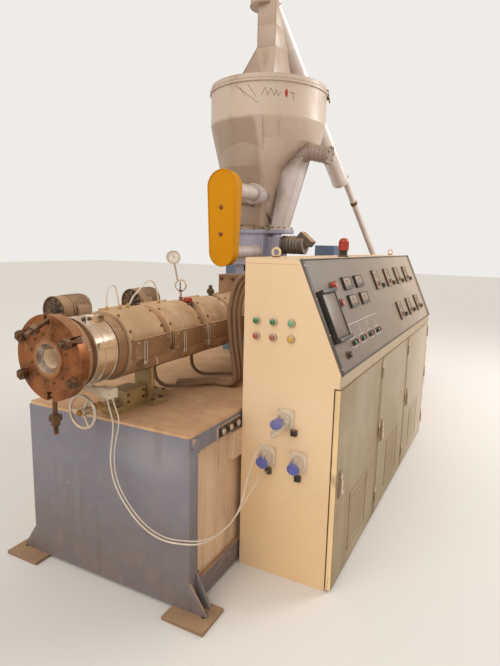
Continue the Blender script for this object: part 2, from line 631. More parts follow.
def rotate(degrees, axis):
    """A turn round an axis."""
    return Matrix.Rotation(math.radians(degrees), 4, axis)


Z_TO = {"x": rotate(90, "Y"), "-x": rotate(-90, "Y"), "y": rotate(-90, "X"),
        "-y": rotate(90, "X"), "z": Matrix.Identity(4), "-z": rotate(180, "X")}


def spot(at, axis="z"):
    """The place of a shape: its base at a point, its Z along an axis or a vector."""
    turned = Z_TO[axis] if isinstance(axis, str) else \
        Vector(axis).to_track_quat("Z", "Y").to_matrix().to_4x4()
    return Matrix.Translation(Vector(at)) @ turned


def turns(count, first=0.0):
    """Cosine and sine of angles spread evenly round a circle, from a first one in degrees."""
    angles = [math.radians(first + 360 / count * k) for k in range(count)]
    return [(math.cos(a), math.sin(a)) for a in angles]


# %% Shape tools
bm = bmesh.new()


def soften(edges, width):
    """Rounds edges with two facets."""
    bmesh.ops.bevel(bm, geom=edges, offset=width, segments=2, profile=0.5, affect="EDGES",
                    material=-1)


def edges_of(verts):
    """All edges at some points."""
    return list({e for v in verts for e in v.link_edges})


def spin(verts, edges, where, sides):
    """Spins a line once round the place's Z."""
    bmesh.ops.spin(bm, geom=verts + edges, cent=where.translation,
                   axis=where.to_3x3() @ Vector((0, 0, 1)), angle=2 * math.pi, steps=sides,
                   use_merge=True, use_duplicate=False)


def cylinder(where, r, h, r2=None, sides=24, bevel=0.0):
    """A cylinder or cone that stands on its place."""
    verts = bmesh.ops.create_cone(bm, cap_ends=True, segments=sides, radius1=r,
                                  radius2=r if r2 is None else r2, depth=h,
                                  matrix=where @ shift(0, 0, h / 2))["verts"]
    if bevel:
        soften([e for e in edges_of(verts)
                if all((where.inverted() @ v.co).z > h * 0.9 for v in e.verts)], bevel)


def block(low, high, bevel=0.0, where=Matrix.Identity(4)):
    """A box between two corners, with rounded edges."""
    low, high = Vector(low), Vector(high)
    shape = Matrix.Translation((low + high) / 2) @ Matrix.Diagonal((*(high - low), 1))
    verts = bmesh.ops.create_cube(bm, size=1, matrix=where @ shape)["verts"]
    if bevel:
        soften(edges_of(verts), bevel)


def taper(low, high, bevel=0.0):
    """A box whose foot and top are two different rectangles, each given by two corners."""
    verts = bmesh.ops.create_cube(bm, size=1)["verts"]
    for v in verts:
        a, b = high if v.co.z > 0 else low
        side = b if v.co.x > 0 else a
        v.co = (side[0], b[1] if v.co.y > 0 else a[1], side[2])
    if bevel:
        soften(edges_of(verts), bevel)


def ring(where, r, thick, sides=40, around=10):
    """A round ring, made by spinning a small circle round the place's Z."""
    loop = bmesh.ops.create_circle(bm, segments=around, radius=thick,
                                   matrix=where @ shift(r, 0, 0) @ rotate(90, "X"))["verts"]
    spin(loop, edges_of(loop), where, sides)


def lathe(where, profile, sides=40):
    """Spins a profile of (radius, height) points round the place's Z."""
    verts = [bm.verts.new(where @ Vector((r, 0, z))) for r, z in profile]
    spin(verts, [bm.edges.new(pair) for pair in zip(verts, verts[1:])], where, sides)


def rod(a, b, r, sides=10):
    """A thin rod between two points."""
    a, b = Vector(a), Vector(b)
    cylinder(spot(a, b - a), r, (b - a).length, sides=sides)


def bolt(at, axis="z", r=0.008, h=0.006):
    """A hexagon bolt head on its washer."""
    cylinder(spot(at, axis), r * 1.25, h * 0.25, sides=16)
    cylinder(spot(at, axis) @ shift(0, 0, h * 0.25), r, h * 0.75, sides=6, bevel=h * 0.15)


def screw(at, axis="z", r=0.005, h=0.003):
    """A domed screw head."""
    cylinder(spot(at, axis), r, h, r * 0.6, sides=12, bevel=h * 0.4)


def piece(name, material, body="machine", smooth=32):
    """Closes the open bmesh as a piece on a body, in a slot's finish, and opens the next."""
    global bm
    bmesh.ops.remove_doubles(bm, verts=bm.verts, dist=1e-6)
    bmesh.ops.recalc_face_normals(bm, faces=bm.faces)
    mesh = bpy.data.meshes.new(name)
    bm.to_mesh(mesh)
    bm.free()
    bm = bmesh.new()
    mesh.shade_smooth()
    mesh.set_sharp_from_angle(angle=math.radians(smooth))
    mesh.materials.append(material)
    obj = bpy.data.objects.new(name, mesh)
    bpy.context.collection.objects.link(obj)
    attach(obj, body)
    return obj


# %% [markdown]
# ## Gussets of the base
# The feet have one gusset each in the CAD. A second one stands flush with the front and with the
# rear of the base, and flares out to the pad.

# %% Front and rear gussets
for side, y in product((-1, 1), (-1.9995, 1.9875)):
    inner, wide, narrow = side * 0.4495, side * 0.538, side * 0.4535
    taper(((min(inner, wide), y, 0.0155), (max(inner, wide), y + 0.012, 0.0155)),
          ((min(inner, narrow), y, 0.142), (max(inner, narrow), y + 0.012, 0.142)), 0.0015)
piece("foot_gussets", slate)

# %% [markdown]
# ## Outlet and clamp ring
# The outlet is a disc in a ring of lugs, held by clamp bolts that swing in slots. The CAD has
# the discs, lugs and bolts. Here come the threads of the bolts, the bright lip of the bore, and
# the tips of the two screws that shine at the bottom of the bore.

# %% Lip, screw tips and threads
AXIS_Z = 1.09
mouth = spot((0, -2.2755, AXIS_Z), "y")
lathe(mouth, [(0.0412, 0.02), (0.0553, -0.001), (0.058, -0.0002), (0.058, 0.0006),
              (0.0556, 0.0006), (0.0418, 0.021), (0.0412, 0.02)], 72)
piece("bore_lip", bright_steel)
lathe(mouth, [(0.0412, 0.2), (0.0412, 0.0202), (0.0418, 0.0214), (0.0418, 0.2), (0.0412, 0.2)],
      72)
piece("bore_lining", bore_steel)
for x in (-0.0195, 0.0195):
    lathe(spot((x, -1.955, AXIS_Z), "-y"),
          [(0, 0.046), (0.006, 0.0445), (0.014, 0.03), (0.0185, 0.012), (0.0188, 0)], 28)
piece("screw_tips", bore_steel)
for k in range(16):
    ring(spot((0, -2.248, AXIS_Z - 0.271 - 0.0022 * k)), 0.0088, 0.0009, 20, 6)
piece("swing_bolt_thread", dark_bolt, "swing_bolt")

# %% [markdown]
# ## Band heater
# A polished steel band holds the heater in front of the first cover. A tension screw between two
# bent ears closes it, and a seam runs along its top.

# %% Band straps and tension screw
BAND_R, EAR_Z = 0.140, AXIS_Z + 0.141


def strap(y, r, thick, width):
    """A flat hoop round the barrel."""
    lathe(spot((0, y, AXIS_Z), "y"), [(r - 0.001, 0), (r + thick, 0.001),
                                      (r + thick, width - 0.001), (r - 0.001, width)], 96)


for y in (-2.158, -2.116, -2.054):
    strap(y, BAND_R, 0.0022, 0.008)
for x in (0.052, 0.074):
    block((x - 0.0025, -2.15, AXIS_Z + 0.112), (x + 0.0025, -2.055, AXIS_Z + 0.151), 0.001)
piece("band_straps", polished)
for y in (-2.135, -2.07):
    rod((0.04, y, EAR_Z), (0.09, y, EAR_Z), 0.0035)
    bolt((0.0765, y, EAR_Z), "x", 0.0065, 0.008)
    bolt((0.0495, y, EAR_Z), "-x", 0.0065)
screw((-0.045, -2.09, AXIS_Z + 0.133), (-0.32, 0, 0.95))
piece("band_screws", dark_bolt)
for c, s in turns(12, 15):
    x, z = 0.094 * c, AXIS_Z + 0.094 * s
    cylinder(spot((x, -2.27, z), "-y"), 0.0065, 0.0035, sides=18, bevel=0.001)
    cylinder(spot((x, -2.2736, z), "-y"), 0.0035, 0.0004, sides=6)
piece("flange_screws", dark_bolt)

# %% [markdown]
# ## Heater covers
# Each cover is bent sheet: a raised strap at both ends, a seam with rivets on top, and a lid with
# screws on its terminal box. Wire latches hold the lids down.

# %% Straps, seams and rivets
COVERS = ((-1.975, -1.745), (-1.7, -1.443), (-1.378, -1.14), (-1.09, -0.85))
COVER_R, SEAM = 0.148, -24
lean = shift(0, 0, AXIS_Z) @ rotate(SEAM, "Y")
for y0, y1 in COVERS:
    for y in (y0 + 0.002, y1 - 0.02):
        strap(y, COVER_R, 0.002, 0.018)
    block((-0.012, y0 + 0.02, COVER_R - 0.0012), (0.012, y1 - 0.02, COVER_R + 0.0022), 0.001,
          lean)
    block((0.012, y0 + 0.024, COVER_R - 0.003), (0.0145, y1 - 0.024, COVER_R + 0.012), 0.0008,
          lean)
piece("cover_straps", cover_steel)
for y0, y1 in COVERS:
    for k in range(5):
        on_seam = lean @ Vector((0, y0 + 0.03 + k * (y1 - y0 - 0.06) / 4, COVER_R * 1.012))
        screw(on_seam, (-0.407, 0, 0.914), 0.0045, 0.0025)
    for y, degrees in product((y0 + 0.011, y1 - 0.011), (-62, 28, 62)):
        out = rotate(degrees, "Y") @ Vector((0, 0, 1))
        bolt(Vector((0, y, AXIS_Z)) + out * 0.1498, out, 0.0055)
piece("cover_rivets", dark_bolt)

# %% Terminal lids and latches
for y0, y1 in COVERS:
    block((0.1715, y0 + 0.006, 1.049), (0.1745, y1 - 0.006, 1.124), 0.0012)
    block((0.118, y0 + 0.006, 1.1275), (0.1735, y1 - 0.006, 1.13), 0.001)
    for x in (0.128, 0.14, 0.152):
        block((x, y0 + 0.05, 1.1296), (x + 0.005, y1 - 0.05, 1.1312), 0.0006)
for k in range(4):
    block((0.1715, -1.905 + 0.265 * k, 1.007), (0.1732, -1.66 + 0.265 * k, 1.039), 0.0008)
piece("terminal_lids", terminal_steel)
for y0, y1 in COVERS:
    for y, z in product((y0 + 0.016, y1 - 0.016), (1.056, 1.117)):
        screw((0.1743, y, z), "x", 0.0045, 0.0028)
for y in (-1.918, -1.629, -1.417, -1.17):
    for side in (y - 0.008, y + 0.008):
        rod((0.1765, side, 1.034), (0.1765, side, 1.118), 0.0021)
        ring(spot((0.1765, side, 1.034), "x"), 0.0042, 0.0014, 16, 6)
    rod((0.1765, y - 0.008, 1.118), (0.1765, y + 0.008, 1.118), 0.0021)
    block((0.173, y - 0.011, 1.022), (0.1785, y + 0.011, 1.034), 0.001)
piece("lid_latches", plated)
print("covers", len(COVERS), "with lids, latches and rivets")

# %% [markdown]
# ## Blowers, foot and handwheel
# Two blowers cool the barrel from the far side. Each has a wire guard over its inlet and a hub
# behind it. The barrel rests on a plated foot whose height the handwheel sets.

# %% Guards, hubs and motor caps
BLOWERS, INLET_X, INLET_Z = (-2.01, -1.5), -0.255, 1.222


def at_inlet(y, axis="y"):
    """A place on the axis of a blower."""
    return spot((INLET_X, y, INLET_Z), axis)


for y in BLOWERS:
    for r in (0.014, 0.026, 0.038, 0.05):
        ring(at_inlet(y - 0.001), r, 0.0014, 40, 6)
    for c, s in turns(6, 15):
        rod((INLET_X, y - 0.001, INLET_Z),
            (INLET_X + 0.058 * c, y - 0.001, INLET_Z + 0.058 * s), 0.0012, 6)
    ring(at_inlet(y), 0.061, 0.0035, 56)
piece("blower_guards", dark_steel)
for y in BLOWERS:
    lathe(at_inlet(y + 0.0095, "-y"), [(0.022, 0), (0.021, 0.005), (0.012, 0.0075), (0, 0.008)],
          32)
    for k in range(9):
        block((0.021, -0.001, -0.007), (0.053, 0.001, 0.007), 0,
              shift(INLET_X, y + 0.007, INLET_Z) @ rotate(40 * k, "Y") @ rotate(35, "X"))
    for c, s in turns(4, 45):
        screw((INLET_X + 0.0655 * c, y + 0.164, INLET_Z + 0.05895 * s), "y", 0.004, 0.004)
    for k in range(7):
        ring(at_inlet(y + 0.058 + 0.015 * k), 0.0642, 0.0016, 56, 6)
piece("blower_fans", black_plastic)

# %% Bolts of the foot
for x, y in product((-0.08, 0.08), (-1.752, -1.693)):
    bolt((x, y, 0.804), r=0.01, h=0.01)
for y, x in product((-1.93, -1.6), (-0.026, 0.026)):
    bolt((x, y, 0.81), h=0.008)
for z, y in product((0.828, 0.858), (-1.888, -1.785)):
    bolt((0.05, y, z), "x", 0.006)
piece("foot_bolts", dark_bolt)
for y in (-1.74, -1.7):
    block((0.038, y, 0.8), (0.043, y + 0.008, 1), 0.001)
block((-0.036, -1.9605, 0.7815), (0.036, -1.958, 0.803), 0.001)
piece("foot_ribs", khaki)

# %% Nuts and hub of the handwheel
WHEEL_X, WHEEL_Z = -0.01, 0.831
bolt((WHEEL_X, -2.112, WHEEL_Z), "-y", 0.0125, 0.013)
cylinder(spot((WHEEL_X, -2.124, WHEEL_Z), "-y"), 0.006, 0.006, sides=20, bevel=0.001)
piece("wheel_nut", brass, "handwheel")
lathe(spot((WHEEL_X, -2.112, WHEEL_Z), "-y"),
      [(0.0185, -0.02), (0.0185, -0.001), (0.0165, 0.0012), (0.012, 0.0012)])
lathe(spot((WHEEL_X, -2.088, WHEEL_Z), "y"),
      [(0.0175, -0.02), (0.0185, 0), (0.0185, 0.012), (0.0115, 0.016)])
for c, s in turns(3, 60):
    ring(spot((WHEEL_X + 0.0175 * c, -2.1, WHEEL_Z - 0.0175 * s), (c, 0, -s)), 0.0055, 0.0018,
         20, 8)
piece("wheel_hub", plated, "handwheel")
bolt((WHEEL_X, -2, WHEEL_Z), "-y", 0.0165, 0.012)
bolt((0.046, -2.0855, 0.862), "-y", 0.011, 0.012)
rod((0.046, -2.0855, 0.862), (0.046, -2.05, 0.862), 0.006, 16)
piece("shaft_nuts", brass)

# %% [markdown]
# ## Vent, gauge and probe leads
# The vent carries a vacuum gauge on a coiled pipe and a small red knob. The gauge's dial is drawn
# with real pieces: a white disc, ticks all round, a needle and its hub under a glossy coat.

# %% Dial of the gauge
enamel = finish("dial enamel", "efe6d8", 0.2, mottle=("e2d5c0", 0.2, 30), dust=(0, 0.06),
                grain=0.0, soft_edge=0, coat=1.0)
facing_to = rotate(-35, "Z") @ Vector((1, 0, 0))
dial = spot(Vector((-0.022, -1.449, 1.456)) + facing_to * 0.015, facing_to)
lathe(dial, [(0.0322, -0.012), (0.0328, -0.004), (0.0326, 0.001), (0.031, 0.0024),
             (0.0288, 0.0022), (0.0284, 0.0004)], 56)
lathe(dial, [(0.0322, -0.03), (0.0318, -0.0315), (0.006, -0.0318)], 56)
piece("gauge_bezel", plated)
cylinder(dial, 0.0284, 0.0006, sides=56)
piece("gauge_dial", enamel)
for k in range(28):
    block((0.0225 if k % 3 else 0.0203, -0.0004, 0.0006), (0.0255, 0.0004, 0.0008), 0,
          dial @ rotate(-135 + 10 * k, "Z"))
block((-0.007, -0.0008, 0.0012), (0.02, 0.0008, 0.0016), 0.0002, dial @ rotate(118, "Z"))
cylinder(dial, 0.0028, 0.0024, 0.002, 20, 0.0003)
piece("gauge_needle", black_plastic)

# %% Vent flange, knob ridges and clips
VENT_Y, KNOB_X = -1.411, 0.041
lathe(spot((0, VENT_Y, 1.228)),
      [(0.012, 0.004), (0.03, 0.004), (0.0315, 0.002), (0.0315, -0.006), (0.026, -0.0075)], 48)
for c, s in turns(6, 30):
    bolt((0.0255 * c, VENT_Y + 0.0255 * s, 1.232), r=0.0042, h=0.004)
ring(spot((-0.006, -1.115, 1.288)), 0.0105, 0.002, 24, 8)
bolt((-0.006, -1.115, 1.29), r=0.0075, h=0.008)
for y in (-1.127, -1.103):
    ring(spot((-0.006, y, 1.262), "y"), 0.0155, 0.0018, 32, 8)
for z in (1.234, 1.246, 1.282):
    bolt((0, -1.415, z), r=0.0095, h=0.008)
piece("vent_flange", dark_bolt)
for c, s in turns(20):
    cylinder(spot((KNOB_X + 0.0198 * c, VENT_Y + 0.0198 * s, 1.2345)), 0.0017, 0.015, sides=8,
             bevel=0.0005)
lathe(spot((KNOB_X, VENT_Y, 1.251)),
      [(0.0195, -0.0005), (0.017, 0.0018), (0.0085, 0.0022), (0.0075, 0.0005), (0, 0.0003)])
piece("knob_ridges", red_plastic, "vent_knob")
for y in (-1.954, -1.876, -1.822, -1.601):
    bolt((0, y, 1.238), r=0.0075, h=0.008)
    cylinder(spot((0, y, 1.246)), 0.0055, 0.012, 0.004, 16, 0.001)
piece("probe_nuts", brass)

# %% Ribs, screw and glands of the heater plug
for x in (-0.018, -0.006, 0.006, 0.018, 0.03, 0.042):
    ring(spot((x, -2.065, 0.926), "x"), 0.0138, 0.0011, 36, 6)
block((0.064, -2.0862, 0.907), (0.128, -2.0845, 0.939), 0.0008)
for x, y, r in ((0.092, -2.065, 0.0065), (0.122, -2.064, 0.0055)):
    cylinder(spot((x, y, 0.9035), "-z"), r, 0.01, r * 0.7, 20, 0.001)
piece("plug_ribs", white_plastic)
for x in (0.07, 0.122):
    screw((x, -2.086, 0.923), "-y", 0.003, 0.0015)
piece("plug_screws", brass)

# %% Two dark hoses from under the barrel
COOLING_HOSES = (
    [(-60, -1560, 954), (-60, -1560, 915), (-60, -1560, 885), (-53, -1551, 842.5),
     (-33, -1527, 811), (-6, -1495, 799), (60, -1414, 797), (130, -1330, 797),
     (230, -1215, 797), (330, -1115, 797), (410, -1060, 797), (463, -1035, 799)],
    [(-50, -1240, 950), (-50, -1240, 915), (-50, -1240, 885), (-42, -1232, 842.5),
     (-19, -1211, 811), (12, -1182, 799), (80, -1120, 797), (180, -1050, 796),
     (300, -990, 796), (400, -960, 796), (463, -952, 798)])
for k, points in enumerate(COOLING_HOSES):
    path = smooth_path(in_metres(points), 6)
    hose = round_cord(f"cooling_hose_{k + 1}", path, 0.0095, hose_rubber)
    print(hose.name, "is", round(path_length(path), 3), "m long")

# %% [markdown]
# ## Feed block, feeder and chain guard
# The feeder is bolted together from flanged boxes. Its screw and the hopper's agitator are driven
# by a chain under the yellow guard.

# %% Flange bolts
FEED_Y = -0.587
for x, y in product((-0.078, 0.078), (-0.665, -0.509)):
    bolt((x, y, 1.3405), h=0.01)
for x, y in product((-0.117, 0.117), (-0.704, -0.62, -0.55, -0.46, -0.418)):
    bolt((x, y, 1.622), r=0.007, h=0.008)
for x in (-0.05, 0.05):
    bolt((x, -0.704, 1.622), r=0.007, h=0.008)
for x, z in product((-0.12, -0.04, 0.04, 0.12), (0.985, 1.315)):
    bolt((x, -0.8, z), "-y", 0.01, 0.01)
for y, z in product((-0.77, -0.68, -0.59, -0.5), (0.985, 1.315)):
    bolt((0.14, y, z), "x", 0.01, 0.01)
for c, s in turns(8, 22.5):
    bolt((0.114 * c, FEED_Y + 0.114 * s, 1.64), r=0.0065, h=0.008)
for x, y in ((0.15, -0.64), (0.19, -0.644), (0.23, -0.64), (0.232, -0.534), (0.19, -0.53)):
    bolt((x, y, 1.632), r=0.0065, h=0.008)
for y, z in product((-0.633, -0.541), (1.475, 1.525, 1.568)):
    bolt((0.202, y, z), "x", 0.005, 0.005)
piece("feeder_bolts", dark_bolt)
block((-0.1, -0.7015, 1.428), (0.1, -0.7, 1.585), 0.001)
for z in (1.405, 1.592):
    block((-0.118, -0.7035, z), (0.118, -0.7, z + 0.01), 0.001)
for x in (-0.118, 0.108):
    block((x, -0.7035, 1.405), (x + 0.01, -0.7, 1.6), 0.001)
for y0, y1 in ((-0.69, -0.665), (-0.515, -0.43)):
    block((0.115, y0, 1.41), (0.1165, y1, 1.595), 0.0006)
block((0.112, -0.655, 1.6), (0.243, -0.519, 1.622), 0.0015)
piece("feeder_ribs", feeder_blue)
for k in range(5):
    ring(spot((0.226 + 0.021 * k, FEED_Y, 1.532), "x"), 0.0525, 0.0035, 48, 8)
lathe(spot((0.352, FEED_Y, 1.532), "x"),
      [(0.0565, -0.004), (0.055, 0.0015), (0.046, 0.003), (0.044, -0.001), (0, -0.001)], 48)
for k in range(5):
    ring(spot((0.3525, FEED_Y, 1.532), "x"), 0.008 + 0.008 * k, 0.0014, 40, 6)
piece("feeder_motor_fins", zinc)

# %% Lip and bolts of the chain guard
GUARD_X, LIP_Y, LIP_R = 0.077, -1.1405, 0.0035
UPPER_Z, LOWER_Z = 1.831, 1.483
for z, r, first in ((UPPER_Z, 0.09, 2.5), (LOWER_Z, 0.075, 182.5)):
    a = math.radians(first)
    loop = bmesh.ops.create_circle(
        bm, segments=8, radius=LIP_R,
        matrix=shift(GUARD_X + r * math.cos(a), LIP_Y, z + r * math.sin(a)))["verts"]
    bmesh.ops.spin(bm, geom=loop + edges_of(loop), cent=(GUARD_X, LIP_Y, z), axis=(0, -1, 0),
                   angle=math.radians(175), steps=28, use_duplicate=False)
for side in (-1, 1):
    rod((GUARD_X + side * 0.09, LIP_Y, 1.835), (GUARD_X + side * 0.075, LIP_Y, 1.48), LIP_R, 8)
piece("guard_lip", yellow)
for z in (1.724, 1.581):
    bolt((0.071, -1.14, z), "-y", 0.0095, 0.01)
piece("guard_bolts", rusty)
for y, z, r, sides, around in ((-1.0795, UPPER_Z, 0.046, 56, 10), (-0.778, UPPER_Z, 0.057, 56, 10),
                               (-1.078, LOWER_Z, 0.04, 48, 8), (-0.715, LOWER_Z, 0.041, 48, 8)):
    ring(spot((GUARD_X, y, z), "y"), r, 0.004, sides, around)
piece("shaft_rings", duct_paint)

# %% [markdown]
# ## Hopper, duct and loader
# The hopper is welded from rolled sheet: each seam is a low bead. Clips press the lid on the
# rim, and the branch, the duct and the chute end in bolted flanges.

# %% Seams, rim and clips
HOPPER = (0.01, -0.455)


def on_wall(degrees, z):
    """A point on the upright wall of the hopper."""
    a = math.radians(degrees)
    return Vector((HOPPER[0] + 0.3674 * math.cos(a), HOPPER[1] + 0.3674 * math.sin(a), z))


for z in (2.4545, 2.4695):
    ring(spot((*HOPPER, z)), 0.3735, 0.0022, 120, 6)
rod((0.1345, -0.8, 2.262), (0.104, -0.69, 1.643), 0.003, 8)
piece("hopper_seams", hopper_paint)

# %% Flat front of the hopper
# Between the round wall and the feeder the front is a flat sheet that ends at the ridge.
rim = bmesh.ops.create_circle(bm, segments=144, radius=0.3666,
                              matrix=shift(*HOPPER, 2.262))["verts"]
bmesh.ops.delete(bm, geom=[v for v in rim if v.co.y > HOPPER[1] + 0.001 or v.co.x > 0.1365],
                 context="VERTS")
taper(((-0.112, -0.69, 1.64), (0.104, -0.5, 1.64)), ((-0.112, -0.69, 1.643), (0.104, -0.5, 1.643)))
hull = bmesh.ops.convex_hull(bm, input=bm.verts)
bmesh.ops.delete(bm, geom=list({v for v in hull["geom_interior"]
                                if isinstance(v, bmesh.types.BMVert)}), context="VERTS")
piece("hopper_front", hopper_paint, smooth=14)

# %% Old pencil strokes on the wall
STROKES = (((-97, 2.44), (-74, 2.332)), ((-84, 2.436), (-76, 2.368)), ((-92, 2.425), (-86, 2.37)),
           ((-71, 2.373), (-68, 2.415), (-65.5, 2.372), (-62.5, 2.412), (-59.5, 2.37),
            (-58, 2.405), (-56, 2.372), (-53.5, 2.392)), ((-45.5, 2.396), (-40, 2.391)),
           ((-42.8, 2.398), (-41, 2.352)))
for stroke in STROKES:
    for (a0, z0), (a1, z1) in zip(stroke, stroke[1:]):
        steps = max(2, int(abs(a1 - a0)))
        line = [on_wall(a0 + (a1 - a0) * k / steps, z0 + (z1 - z0) * k / steps)
                for k in range(steps + 1)]
        for a, b in zip(line, line[1:]):
            rod(a, b, 0.0011, 5)
piece("wall_strokes", dark_bolt)
for degrees in (-172, 20, 92, 150):
    out = shift(*HOPPER, 0) @ rotate(degrees, "Z")
    block((0.366, -0.014, 2.44), (0.381, 0.014, 2.468), 0.002, out)
    block((0.346, -0.01, 2.4945), (0.376, 0.01, 2.4985), 0.001, out)
    for side in (-0.006, 0.006):
        rod(out @ Vector((0.3785, side, 2.446)), out @ Vector((0.3735, side, 2.497)), 0.0018, 8)
    rod(out @ Vector((0.381, 0, 2.452)), out @ Vector((0.386, 0, 2.42)), 0.004)
piece("lid_clips", dark_bolt)
lathe(spot((*HOPPER, 2.495)),
      [(0.3655, -0.001), (0.3655, 0.002), (0.352, 0.0032), (0.347, 0.0005)], 120)
piece("lid_band", hopper_paint)

# %% Branch and duct in their full form
END_AT = Vector((0.47, -0.545, 2.06))
for x0, z0, x1, z1, r in ((0.06, 1.972, 0.345, 2.091, 0.045), (0.341, 2.092, 0.458, 2.063, 0.048),
                          (0.458, 2.063, END_AT.x, END_AT.z, 0.057)):
    rod((x0, END_AT.y, z0), (x1, END_AT.y, z1), r, 72)
taper(((0.149, -0.637, 1.63), (0.217, -0.537, 1.63)),
      ((0.173, -0.6, 2.034), (0.32, -0.49, 2.059)), 0.003)
block((0.138, -0.653, 1.622), (0.241, -0.521, 1.632), 0.0015)
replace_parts(piece("branch_duct", duct_paint), "hopper_branch")

# %% Branch flange and duct seams
out, up, across = Vector((0.971, 0, -0.24)), Vector((0.24, 0, 0.971)), Vector((0, 1, 0))
for c, s in turns(8, 22.5):
    bolt(END_AT + up * 0.049 * c + across * 0.049 * s, out, 0.0045, 0.005)
piece("branch_bolts", dark_bolt)
lathe(spot(END_AT, out), [(0.034, 0.0006), (0.0335, -0.004), (0, -0.005)])
ring(spot(END_AT - out * 0.012, out), 0.049, 0.0035, 56, 8)
for k in range(4):
    ring(spot(END_AT - out * (0.035 + 0.026 * k), out), 0.0482, 0.0022, 56, 6)
piece("branch_rings", duct_paint)
for a, b in (((0.149, -0.637, 1.636), (0.173, -0.6, 2.032)),
             ((0.217, -0.637, 1.636), (0.32, -0.6, 2.056)),
             ((0.217, -0.537, 1.636), (0.32, -0.49, 2.056))):
    rod(a, b, 0.0032, 8)
block((0.137, -0.654, 1.6225), (0.242, -0.52, 1.6255), 0.001)
piece("duct_seams", duct_paint)

# %% Drop chute in its full form
CHUTE_FOOT = (-0.158, -0.585), (0.094, -0.235)
CHUTE_X, CHUTE_Y, SHOULDER = (-0.05, 0.072), -0.515, 2.744
left, right = CHUTE_X
block((*CHUTE_FOOT[0], 2.505), (*CHUTE_FOOT[1], 2.514), 0.001)
taper(((*CHUTE_FOOT[0], 2.513), (*CHUTE_FOOT[1], 2.513)),
      ((left, CHUTE_Y, SHOULDER), (right, -0.321, SHOULDER)), 0.002)
for z0, rear0, z1, rear1 in ((2.743, -0.321, 2.866, -0.261), (2.864, -0.261, 2.999, -0.435)):
    taper(((left, CHUTE_Y, z0), (right, rear0, z0)), ((left, CHUTE_Y, z1), (right, rear1, z1)),
          0.002)
lathe(spot((-0.035, -0.455, 2.99)), [(0, 0), (0.09, 0), (0.09, 0.11), (0.06, 0.15), (0, 0.15)],
      96)
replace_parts(piece("chute_form", hopper_paint), "drop_chute")

# %% Chute flange, seams and head rings
block((-0.168, -0.595, 2.5095), (0.104, -0.225, 2.5155), 0.0015)
for a, b in (((-0.158, -0.585, 2.514), (left, CHUTE_Y, SHOULDER)),
             ((0.094, -0.585, 2.514), (right, CHUTE_Y, SHOULDER)),
             ((left, CHUTE_Y, SHOULDER), (left, CHUTE_Y, 2.995)),
             ((right, CHUTE_Y, SHOULDER), (right, CHUTE_Y, 2.998)),
             ((right, -0.261, 2.866), (right, -0.435, 2.999)),
             ((left, CHUTE_Y, SHOULDER), (right, CHUTE_Y, SHOULDER))):
    rod(a, b, 0.0028, 8)
for z in (2.996, 3.06, 3.096):
    ring(spot((-0.036, -0.455, z)), 0.0905, 0.003, 72, 8)
piece("chute_seams", hopper_paint)
for x, y in (*product((-0.16, -0.095, -0.032, 0.032, 0.096), (-0.588, -0.232)),
             *product((0.098,), (-0.53, -0.41, -0.29))):
    bolt((x, y, 2.5155), r=0.0055)
for c, s in turns(8):
    bolt((-0.036 + 0.078 * c, -0.455 + 0.078 * s, 3.104), r=0.0055, h=0.004)
piece("chute_bolts", dark_bolt)

# %% Loader tube, its sleeve, clamps and joints
TUBE_A = Vector((0.042, -0.455, 3.021))
along = Vector((0.573, 2.25, 0.358)) - TUBE_A
sleeve = Vector((-0.032, -0.019, -0.014))
rod(TUBE_A, TUBE_A + along, 0.025, 56)
rod(TUBE_A + along * 0.008 + sleeve, TUBE_A + along * 0.365 + sleeve, 0.064, 96)
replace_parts(piece("tube_and_sleeve", tube_metal), "loader_tube")
for t in (0.15, 0.355):
    lathe(spot(TUBE_A + along * t + sleeve, along),
          [(0.063, 0), (0.0665, 0.002), (0.0665, 0.026), (0.063, 0.028)], 56)
    for side in (-0.064, 0.064):
        ear = TUBE_A + sleeve + Vector((side, 0.012, 0.03))
        rod(ear + along * (t + 0.0018), ear + along * (t + 0.0054), 0.006)
lathe(spot(TUBE_A + along * 0.3655 + sleeve, along),
      [(0, 0.0012), (0.03, 0.0012), (0.06, 0.0008), (0.0645, -0.001), (0.0645, -0.006)], 56)
piece("sleeve_clamps", tube_metal)
for t in (0.42, 0.62, 0.82):
    lathe(spot(TUBE_A + along * t, along),
          [(0.0245, 0), (0.0285, 0.002), (0.0285, 0.03), (0.0245, 0.032)])
piece("tube_joints", dark_steel)
for x in (0.423, 0.7):
    rod((x, 2.08, 0.44), (x, 2.48, 0.44), 0.005)
for y in (2.08, 2.48):
    rod((0.423, y, 0.44), (0.7, y, 0.44), 0.005)
for z in (0.12, 0.3):
    block((0.699, 2.12, z), (0.7015, 2.44, z + 0.012), 0.001)
piece("bin_rim", hopper_paint)

# %% [markdown]
# ## Gearbox, coupling and motor
# The drive stands behind the feeder. The motor has cooling ribs and a fan hood, the gearbox has
# bolted covers and an oil glass, and a yellow guard hides the coupling.

# %% Ribs of the drive
for k in (*range(13), *range(24, 36)):
    # The terminal box stands between the ribs on top.
    for y0, y1 in ((0.6, 0.8), (0.985, 1.42)) if k in (0, 1, 35) else ((0.6, 1.42),):
        block((-0.0025, y0, 0.212), (0.0025, y1, 0.226), 0.0008,
              shift(0, 0, AXIS_Z) @ rotate(10 * k, "Y"))
for y in (0.565, 1.435):
    lathe(spot((0, y, AXIS_Z), "y"), [(0.214, 0), (0.222, 0.002), (0.222, 0.02), (0.214, 0.022)],
          96)
for x in (-0.285, 0.279):
    block((x, -0.42, 0.845), (x + 0.006, 0.3, 0.853), 0.001)
for y, x in product((-0.42, -0.24, -0.06, 0.12, 0.292), (0.279, -0.2875)):
    block((x, y, 0.85), (x + 0.0085, y + 0.01, 1.36), 0.002)
for z in (0.845, 1.352):
    block((0.279, -0.42, z), (0.2875, 0.302, z + 0.012), 0.002)
